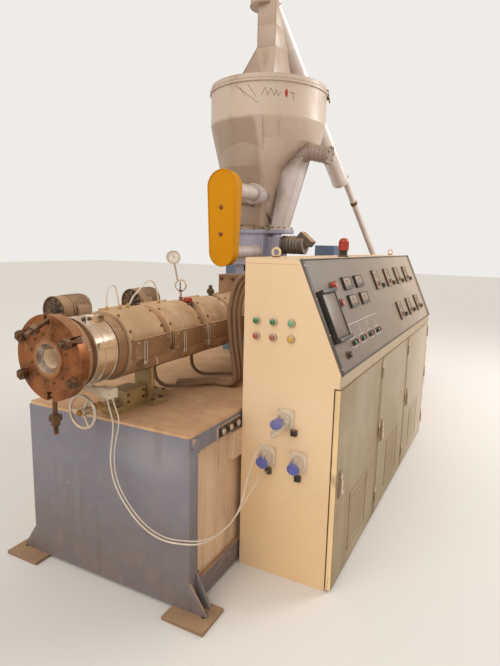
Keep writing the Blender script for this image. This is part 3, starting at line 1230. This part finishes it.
block((-0.24, -0.43, 1.3895), (0.24, 0.31, 1.399), 0.003)
block((-0.06, 0.02, 1.398), (0.06, 0.14, 1.414), 0.003)
for y in (0.784, 0.964):
    block((-0.094, y, 1.3), (0.094, y + 0.005, 1.4), 0.001)
for k in range(7):
    z = 1.405 + 0.017 * k
    block((-0.08, 0.783, z), (0.08, 0.7855, z + 0.008), 0.001)
    block((0.0895, 0.81, z), (0.092, 0.98, z + 0.008), 0.001)
block((0.205, 0.9, 1.02), (0.245, 1.1, 1.15), 0.004)
piece("drive_ribs", drive_blue)

# %% Bolts, oil glass, coupling mesh and motor grille
for x, y in (*product((-0.225, -0.11, 0, 0.11, 0.225), (-0.415, 0.295)),
             *product((-0.225, 0.225), (-0.3, -0.18, 0.06, 0.18))):
    bolt((x, y, 1.399), r=0.009, h=0.01)
for x, y in product((-0.296, 0.296), (-0.42, -0.14, 0.14, 0.3)):
    bolt((x, y, 0.82), r=0.01, h=0.012)
for x, y in product((-0.21, 0.21, -0.13, 0.13), (0.75, 1.27)):
    bolt((x, y, 0.7805), h=0.008)
for c, s in turns(10):
    bolt((0.095 * c, -0.4715, AXIS_Z + 0.21 * s), "-y", h=0.008)
for z, y in product((1.035, 1.135), (0.915, 1.085)):
    screw((0.245, y, z), "x")
cylinder(spot((0, 0.08, 1.413)), 0.018, 0.02, sides=6, bevel=0.002)
piece("drive_bolts", dark_bolt)
lathe(spot((0.281, 0.21, 0.98), "x"), [(0.03, -0.002), (0.03, 0.006), (0.026, 0.009),
                                       (0.022, 0.007)])
cylinder(spot((0.281, -0.33, 0.9), "x"), 0.014, 0.012, sides=6, bevel=0.002)
piece("oil_fittings", brass)
for y in (0.397, 0.465, 0.535):
    ring(spot((0, y, AXIS_Z), "y"), 0.1305, 0.003, 72, 8)
for c, s in turns(24):
    x, z = 0.1305 * c, AXIS_Z + 0.1305 * s
    rod((x, 0.397, z), (x, 0.535, z), 0.0016, 6)
piece("coupling_mesh", yellow)
for k in range(8):
    ring(spot((0, 1.521, AXIS_Z), "y"), 0.03 + 0.021 * k, 0.0022, 64, 6)
for c, s in turns(8, 22.5):
    rod((0.02 * c, 1.521, AXIS_Z + 0.02 * s), (0.186 * c, 1.521, AXIS_Z + 0.186 * s), 0.003, 6)
piece("motor_grille", dark_steel)

# %% [markdown]
# ## Base frame
# The base is welded from plates and rails. Screws hold its beige panels, weld beads fill its
# corners, and the lifting spigots at the ends have caps.

# %% Panel screws, welds and spigots
for side, axis in ((-1, "-x"), (1, "x")):
    for y, z in (*product([-1.9 + 0.475 * k for k in range(9)], (0.135, 0.68)),
                 *product((-0.6667, 0.6667), (0.22, 0.4, 0.58))):
        screw((side * 0.43, y, z), axis, 0.0065, 0.004)
piece("panel_screws", dark_bolt)
for x, out in ((-0.45, -1), (0.45, 1)):
    for z in (0.117, 0.697):
        rod((x, 1.939, z), (x, -1.939, z), 0.003, 8)
    for end in (-1, 1):
        corner = x + out * 0.0005, end * 1.965
        rod((x, end * 1.9405, 0.02), (x, end * 1.9405, 0.766), 0.0032, 8)
        rod((*corner, 0.018), (out * 0.523, end * 1.965, 0.018), 0.004, 8)
        rod((*corner, 0.02), (*corner, 0.162), 0.004, 8)
piece("base_welds", slate)
for (x, axis), y in product(((-0.4645, "-x"), (0.4645, "x")), (-1.97, 1.97)):
    lathe(spot((x, y, 0.742), axis), [(0.0205, -0.003), (0.0195, 0.0006), (0.013, 0.001),
                                      (0.0115, -0.004), (0, -0.004)], 36)
piece("spigot_caps", slate)

# %% [markdown]
# ## Control cabinet
# The cabinet is sheet metal. Three doors close its right side, and the sloping desk on top holds
# meters, controllers, switches and buttons. Everything that a hand turns or presses has its own
# shape, and the plates stay bare.

# %% Roof seams, end plate screws and eyes
block((0.4605, -1.5845, 1.448), (0.716, -1.5825, 1.452), 0.0005)
for y in (-0.797, -0.01):
    block((0.463, y, 1.4695), (0.714, y + 0.004, 1.472), 0.0008)
for x in (0.463, 0.708):
    block((x, -1.582, 1.4695), (x + 0.006, 0.776, 1.4725), 0.001)
for z0, z1 in ((0.9425, 0.9465), (0.99, 0.9945)):
    block((0.9215, -1.58, z0), (0.9245, 0.774, z1), 0.001)
piece("cabinet_seams", cream)
for y in (-1.538, 0.732):
    cylinder(spot((0.5885, y, 1.477)), 0.0185, 0.004, sides=28, bevel=0.001)
piece("cabinet_screws", dark_bolt)

# %% Louvres, locks and door edges
DOORS = ((1, -1.583, -0.819, 0.002), (2, -0.811, -0.064, 0.002), (3, -0.056, 0.777, 0.006))
for n, y0, y1, hinge_in in DOORS:
    door, lock_y = f"door_{n}", y0 + 0.054
    for k in range(8):
        z = 0.1185 + 0.03 * k
        block((-0.0007, -0.129, -0.0075), (0.0007, 0.129, 0.0075), 0.0003,
              shift(0.9185, y0 + 0.392, z) @ rotate(-38, "Y"))
        block((0.9225, y0 + 0.258, z + 0.005), (0.9262, y0 + 0.526, z + 0.008), 0.0012)
    for y in (y0 + 0.236, y0 + 0.542):
        block((0.9222, y, 0.078), (0.9262, y + 0.006, 0.372), 0.0012)
    for z in (0.078, 0.366):
        block((0.9222, y0 + 0.236, z), (0.9262, y0 + 0.548, z + 0.006), 0.0012)
    for y in (y0 + 0.004, y1 - 0.026):
        block((0.9225, y, 0.014), (0.9245, y + 0.005, 0.93), 0.0008)
    for z in (0.012, 0.9275):
        block((0.9225, y0 + 0.004, z), (0.9245, y1 - 0.021, z + 0.005), 0.0008)
    piece(f"louvres_{n}", door_cream, door)
    lathe(spot((0.932, lock_y, 0.535), "x"), [(0.0125, -0.001), (0.0125, 0.003), (0.011, 0.0045),
          (0.0065, 0.0045), (0.006, 0.001), (0, 0.001)], 32)
    block((0.932, y0 + 0.046, 0.452), (0.9385, y0 + 0.062, 0.52), 0.002)
    lathe(spot((0.932, lock_y, 0.464), "x"), [(0.0095, 0), (0.0095, 0.0085), (0.007, 0.01),
          (0, 0.01)], 28)
    for z in (0.445, 0.555):
        screw((0.932, lock_y, z), "x", 0.004, 0.002)
    piece(f"lock_{n}", plated, door)
    for z, dz in product((0.09, 0.48, 0.82), (0.0005, 0.0595)):
        cylinder(spot((0.9275, y1 - hinge_in, z + dz)), 0.0055, 0.001, sides=20)
    piece(f"hinge_caps_{n}", plated, door)

# %% Places on the desk
PANEL = shift(0.715, -1.583, 1.47) @ Matrix.Rotation(math.atan2(0.475, 0.208), 4, "Y")
METERS = [(s, y) for y in (0.44, 0.649) for s in (0.102, 0.196)]
CONTROLS = [(0.086, 1.043 + 0.302 * k) for k in range(4)] + \
    [(0.318, 1.375 + 0.31 * k) for k in range(3)]
SWITCHES = [(0.176, 1.205 + 0.302 * k) for k in range(4)] + \
    [(0.404, 1.537 + 0.31 * k) for k in range(3)]
KNOBS = ((0.134, 0.272, 0.015, 0.026), (0.222, 0.322, 0.015, 0.014), (0.453, 0.167, 0.013, 0.018))


def on_desk(s, y, w=0.0):
    """A place on the sloping desk: s down the slope, y along it, w out of it."""
    return PANEL @ shift(s, y, w)


def slab(s0, y0, w0, s1, y1, w1, bevel=0.0):
    """A block on the desk."""
    block((s0, y0, w0), (s1, y1, w1), bevel, PANEL)


def desk_screw(s, y, w, r=0.005, h=0.003):
    """A screw that stands up from the desk."""
    screw(on_desk(s, y, w).translation, PANEL.to_3x3() @ Vector((0, 0, 1)), r, h)


def bars(s, y, wide, long, thick, top, bevel):
    """Four bars that frame a rectangle."""
    for s0, y0, s1, y1 in ((0, 0, wide, thick), (0, long - thick, wide, long),
                           (0, 0, thick, long), (wide - thick, 0, wide, long)):
        slab(s + s0, y + y0, 0.008, s + s1, y + y1, top, bevel)


def scale(pivot, count, inner, long, short, every, needle, thin, shown_at):
    """Ticks in an arc, and a needle that points a few degrees off its middle."""
    for k in range(count):
        block((inner, -0.0006, -0.0001), (short if k % every else long, 0.0006, 0.0003), 0,
              pivot @ rotate(180 - 5 * (count - 1) + 10 * k, "Z"))
    block((0, -thin, 0.0006), (needle, thin, 0.001), 0, pivot @ rotate(180 + shown_at, "Z"))


def grip(s, y, r, h):
    """A round knob with ridges."""
    lathe(on_desk(s, y), [(r + 0.001, 0.005), (r + 0.0004, h - 0.002), (r - 0.001, h + 0.0012),
                          (0, h + 0.0012)])
    for c, d in turns(18):
        x, z = s + r * c, y + r * d
        rod(PANEL @ Vector((x, z, 0.005)), PANEL @ Vector((x, z, h - 0.002)), 0.0012, 6)


# %% The desk: meters and controllers
meter_bronze = finish("meter face", "927b64", 0.5, mottle=("826b55", 0.4, 20), dust=(0.1, 0.1),
                      grain=0.02, soft_edge=0, coat=0.1)
case_brown = finish("controller case", "8a705a", 0.4, mottle=("7c6450",), dust=(0.1, 0.08),
                    soft_edge=0, bare="a89880", wear=(0.3,))
for s, y in METERS:
    bars(s, y, 0.066, 0.13, 0.006, 0.0125, 0.0012)
    slab(s + 0.044, y + 0.006, 0.009, s + 0.06, y + 0.124, 0.0115, 0.001)
for s, y in CONTROLS:
    slab(s + 0.0765, y + 0.0545, 0.022, s + 0.0995, y + 0.0575, 0.025, 0.0006)
for s, y in SWITCHES:
    slab(s - 0.002, y - 0.002, 0, s + 0.028, y + 0.042, 0.008, 0.0015)
    block((-0.009, -0.015, -0.003), (0.009, 0.015, 0.0025), 0.0015,
          on_desk(s + 0.013, y + 0.02, 0.0145) @ rotate(9, "Y"))
piece("meter_frames", black_plastic)
for s, y in CONTROLS:
    bars(s, y, 0.12, 0.112, 0.007, 0.013, 0.0015)
    lathe(on_desk(s + 0.088, y + 0.056, 0.009), [(0.019, 0), (0.0185, 0.003), (0.0135, 0.004),
          (0.0125, 0.013), (0.011, 0.0145), (0, 0.0145)], 36)
piece("controller_cases", case_brown)
for s, y in METERS:
    slab(s + 0.007, y + 0.007, 0.009, s + 0.044, y + 0.123, 0.0098)
for s, y in CONTROLS:
    slab(s + 0.007, y + 0.007, 0.009, s + 0.113, y + 0.105, 0.0094)
piece("meter_faces", meter_bronze)
for s, y in METERS:
    scale(on_desk(s + 0.052, y + 0.065, 0.01), 13, 0.03, 0.036, 0.034, 3, 0.033, 0.0007, 24)
for s, y in CONTROLS:
    scale(on_desk(s + 0.06, y + 0.056, 0.01), 15, 0.031, 0.038, 0.035, 2, 0.035, 0.0008, -18)
piece("meter_marks", black_plastic)
for s, y in CONTROLS:
    slab(s + 0.014, y + 0.014, 0.009, s + 0.046, y + 0.098, 0.0098)
piece("control_scales", meter_bronze)


# %% Lenses, buttons and knobs
def lens(name, code, glow=0.02):
    """Clear coloured plastic with a little light of its own."""
    made = bpy.data.materials.new(name)
    made.use_nodes = True
    shader = made.node_tree.nodes["Principled BSDF"]
    shader.inputs["Base Color"].default_value = linear(code)
    shader.inputs["Roughness"].default_value = 0.18
    shader.inputs["Coat Weight"].default_value = 1.0
    shader.inputs["Coat Roughness"].default_value = 0.05
    shader.inputs["Emission Color"].default_value = linear(code)
    shader.inputs["Emission Strength"].default_value = glow
    return made


green, red, amber, pale_green, orange = (
    lens("green lens", "1c6a44"), lens("red lens", "a04a34"), lens("amber lens", "c49a2c"),
    lens("pale green lens", "5f9c6c"), lens("orange knob", "c0422a", 0.0))
BUTTONS = [0.15 * k for k in range(4)]
for (s, y), dy in product(CONTROLS, (0.02, 0.092)):
    lathe(on_desk(s + 0.094, y + dy, 0.009), [(0.0045, 0), (0.0045, 0.002), (0.003, 0.0038),
                                              (0, 0.0042)], 20)
piece("control_lamps", red)
for y, dy in product(BUTTONS, (0.288, 0.338)):
    lathe(on_desk(0.417, y + dy), [(0.0155, 0), (0.0155, 0.003), (0.0135, 0.0055),
          (0.0112, 0.0055), (0.011, 0.014), (0.01, 0.0148)], 32)
for s, y, r, h in KNOBS:
    lathe(on_desk(s, y), [(r + 0.006, 0), (r + 0.006, 0.003), (r + 0.002, 0.0045),
                          (r + 0.001, 0.006)])
    slab(s - r, y - 0.0015, h, s - 0.002, y + 0.0015, h + 0.0026, 0.0005)
grip(*KNOBS[2])
piece("button_rims", black_plastic)
for knob in KNOBS[:2]:
    grip(*knob)
piece("desk_knobs", orange)
for name, dy, material in (("green", 0.288, green), ("red", 0.338, red)):
    for y in BUTTONS:
        lathe(on_desk(0.417, y + dy), [(0.0102, 0.0135), (0.01, 0.0165), (0.0085, 0.0182),
                                       (0, 0.0188)], 28)
    piece(f"{name}_buttons", material)
for y, s in product((0.011, 2.349), (0.03, 0.18, 0.34, 0.49)):
    desk_screw(s, y, 0.008)
piece("trim_screws", plated)
for y in (0.0005, 2.3385):
    slab(-0.0005, y, 0.0075, 0.518, y + 0.021, 0.0095, 0.001)
slab(-0.0005, 0.022, 0, 0.0045, 2.338, 0.0065, 0.001)
slab(0.512, 0.022, 0, 0.518, 2.338, 0.0045, 0.001)
piece("panel_trim", black_trim)

# %% The operator box, and thin lines that join the push buttons
for s in (0.149, 0.369):
    slab(s, 0.045, 0.03, s + 0.018, 0.227, 0.036, 0.0025)
for y in (0.046, 0.218):
    slab(0.166, y, 0.019, 0.37, y + 0.008, 0.0265, 0.0015)
piece("operator_frame", black_trim)
slab(0.168, 0.055, 0.0195, 0.368, 0.217, 0.0225, 0.001)
piece("operator_plate", bronze)
for s, y in product((0.176, 0.36), (0.063, 0.209)):
    desk_screw(s, y, 0.0225, 0.003, 0.002)
piece("operator_screws", plated)
LINE, THIN = 0.0018, 0.0006
slab(0.33, 0.25, 0, 0.33 + LINE, 0.85, THIN)
for y in BUTTONS:
    slab(0.33, y + 0.312, 0, 0.395, y + 0.312 + LINE, THIN)
    for s in (0.395, 0.4372):
        slab(s, y + 0.268, 0, s + LINE, y + 0.358, THIN)
    for dy in (0.268, 0.3565):
        slab(0.395, y + dy, 0, 0.439, y + dy + LINE, THIN)
piece("desk_lines", enamel)

# %% Lamps on the end of the cabinet
LAMPS = ((0.526, 1.199, "green"), (0.607, 1.199, "green"), (0.692, 1.199, "pale"),
         (0.526, 1.131, "red"), (0.607, 1.131, "red"), (0.692, 1.131, "amber"))
for x, z, colour in LAMPS:
    lathe(spot((x, -1.587, z), "-y"), [(0.0172, 0), (0.0172, 0.004), (0.0158, 0.0065),
          (0.014, 0.0072), (0.0136, 0.0085), (0.0128, 0.0088)], 36)
piece("lamp_bezels", plated)
for name, material in (("green", green), ("red", red), ("amber", amber), ("pale", pale_green)):
    for x, z, colour in LAMPS:
        if colour == name:
            lathe(spot((x, -1.587, z), "-y"), [(0.0132, 0.0078), (0.0132, 0.0115),
                  (0.0115, 0.0145), (0.007, 0.0168), (0, 0.0174)], 32)
    piece(f"lamp_{name}", material)

# %% Rocker switches of the sockets
ROCKERS = ((0.606, 0.513), (0.749, 0.508), (0.724, 0.716))
for x, z in ROCKERS:
    block((x - 0.0142, -1.599, z - 0.0142), (x + 0.0142, -1.5832, z + 0.0142), 0.002)
    block((-0.0085, -0.0022, -0.0105), (0.0085, 0.003, 0.0105), 0.001,
          shift(x, -1.5995, z) @ rotate(8, "X"))
piece("socket_switches", black_plastic)

# %% Sockets, their caps and the plug
SOCKETS = ((1, 0.68, 0.773, -80), (2, 0.598, 0.584, 0), (3, 0.748, 0.586, 0))
BOTH = (-1, 1)


def on_socket(x, z, out=0.0):
    """The place of a socket: z out of the cabinet and a little down."""
    return shift(x, -1.589, z) @ rotate(105, "X") @ shift(0, 0, out)


for n, x, z, opened in SOCKETS:
    block((x - 0.0405, -1.5895, z - 0.0455), (x + 0.0405, -1.5872, z + 0.0455), 0.001)
    for h in (0.012, 0.02, 0.045):
        ring(on_socket(x, z, h), 0.0272, 0.0018, 48, 8)
piece("socket_rims", white_plastic)
for (n, x, z, opened), sx, sz in product(SOCKETS, BOTH, BOTH):
    screw((x + sx * 0.033, -1.5893, z + sz * 0.038), "-y", 0.0042, 0.0025)
for (x, z), sx in product(ROCKERS, BOTH):
    screw((x + sx * 0.0085, -1.597, z + 0.0085), "-y", 0.0022, 0.0012)
piece("socket_screws", plated)
for n, x, z, opened in SOCKETS:
    hinge = on_socket(x, z) @ shift(0, 0.034, 0.057) @ rotate(opened, "X")
    lid = hinge @ shift(0, -0.034, 0)
    ring(lid @ shift(0, 0, 0.0045), 0.0268, 0.0018, 56, 8)
    ring(lid @ shift(0, 0, 0.0052), 0.018, 0.0012, 48, 6)
    for k in range(16):
        block((0.0274, -0.0016, -0.0026), (0.0288, 0.0016, 0.0044), 0.0004,
              lid @ rotate(22.5 * k, "Z"))
    for side, axis in ((-0.0138, "-x"), (0.0138, "x")):
        cylinder(hinge @ shift(side, 0, 0) @ Z_TO[axis], 0.0042, 0.002, sides=20, bevel=0.0006)
    piece(f"cap_ribs_{n}", blue_plastic, f"socket_cap_{n}")
plug_at = on_socket(0.68, 0.773, 0.058) @ rotate(-12, "Y") @ rotate(20, "X")
for h, r, thick, sides in ((0.006, 0.0223, 0.0012, 40), (0.014, 0.0212, 0.0012, 40),
                           (0.022, 0.0202, 0.0012, 40), (0.03, 0.019, 0.0012, 40),
                           (0.038, 0.0178, 0.0012, 40), (0.05, 0.015, 0.0016, 36),
                           (0.057, 0.0098, 0.0012, 32)):
    ring(plug_at @ shift(0, 0, h), r, thick, sides, 6)
piece("socket_plug_ribs", white_plastic)

# %% Beacon ribs and buttons of the side box
BEACON = (0.612, -0.64)
for c, s in turns(24):
    x, y = BEACON[0] + 0.0288 * c, BEACON[1] + 0.0288 * s
    rod((x, y, 1.512), (x, y, 1.555), 0.0014, 6)
for z in (1.512, 1.556):
    ring(spot((*BEACON, z)), 0.0288, 0.0022, 48, 8)
piece("beacon_ribs", red_plastic)
lathe(spot((*BEACON, 1.47)), [(0.031, 0), (0.031, 0.006), (0.0235, 0.01), (0.0228, 0.03),
                              (0.0255, 0.036), (0.0265, 0.04)], 48)
piece("beacon_foot", black_plastic)
SIDE_BUTTONS = [spot((0.461, y, 0.726), "x") for y in (-1.755, -1.689, -1.623)]
for at in SIDE_BUTTONS:
    lathe(at, [(0.0195, -0.003), (0.0195, 0.001), (0.017, 0.003), (0.014, 0.003)], 36)
block((0.4565, -1.788, 0.702), (0.458, -1.594, 0.75), 0.0006)
for y, z in product((-1.783, -1.599), (0.706, 0.746)):
    screw((0.457, y, z), "x", 0.0035, 0.002)
piece("side_button_rims", black_plastic)
for at in SIDE_BUTTONS:
    lathe(at, [(0.0138, 0), (0.0136, 0.0062), (0.0115, 0.0085), (0, 0.0092)], 32)
piece("side_buttons", plated)

# %% [markdown]
# ## Floor
# A plain pale floor takes the shadows. It isn't part of the machine.

# %% Floor and the end
floor_shape = bmesh.new()
bmesh.ops.create_grid(floor_shape, x_segments=1, y_segments=1, size=30)
floor_mesh = bpy.data.meshes.new("floor")
floor_shape.to_mesh(floor_mesh)
floor_shape.free()
floor = bpy.data.objects.new("floor", floor_mesh)
bpy.context.collection.objects.link(floor)
floor_paint = bpy.data.materials.new("pale floor")
floor_paint.use_nodes = True
floor_shader = floor_paint.node_tree.nodes["Principled BSDF"]
floor_shader.inputs["Base Color"].default_value = (0.74, 0.71, 0.67, 1)
floor_shader.inputs["Roughness"].default_value = 0.9
floor_mesh.materials.append(floor_paint)
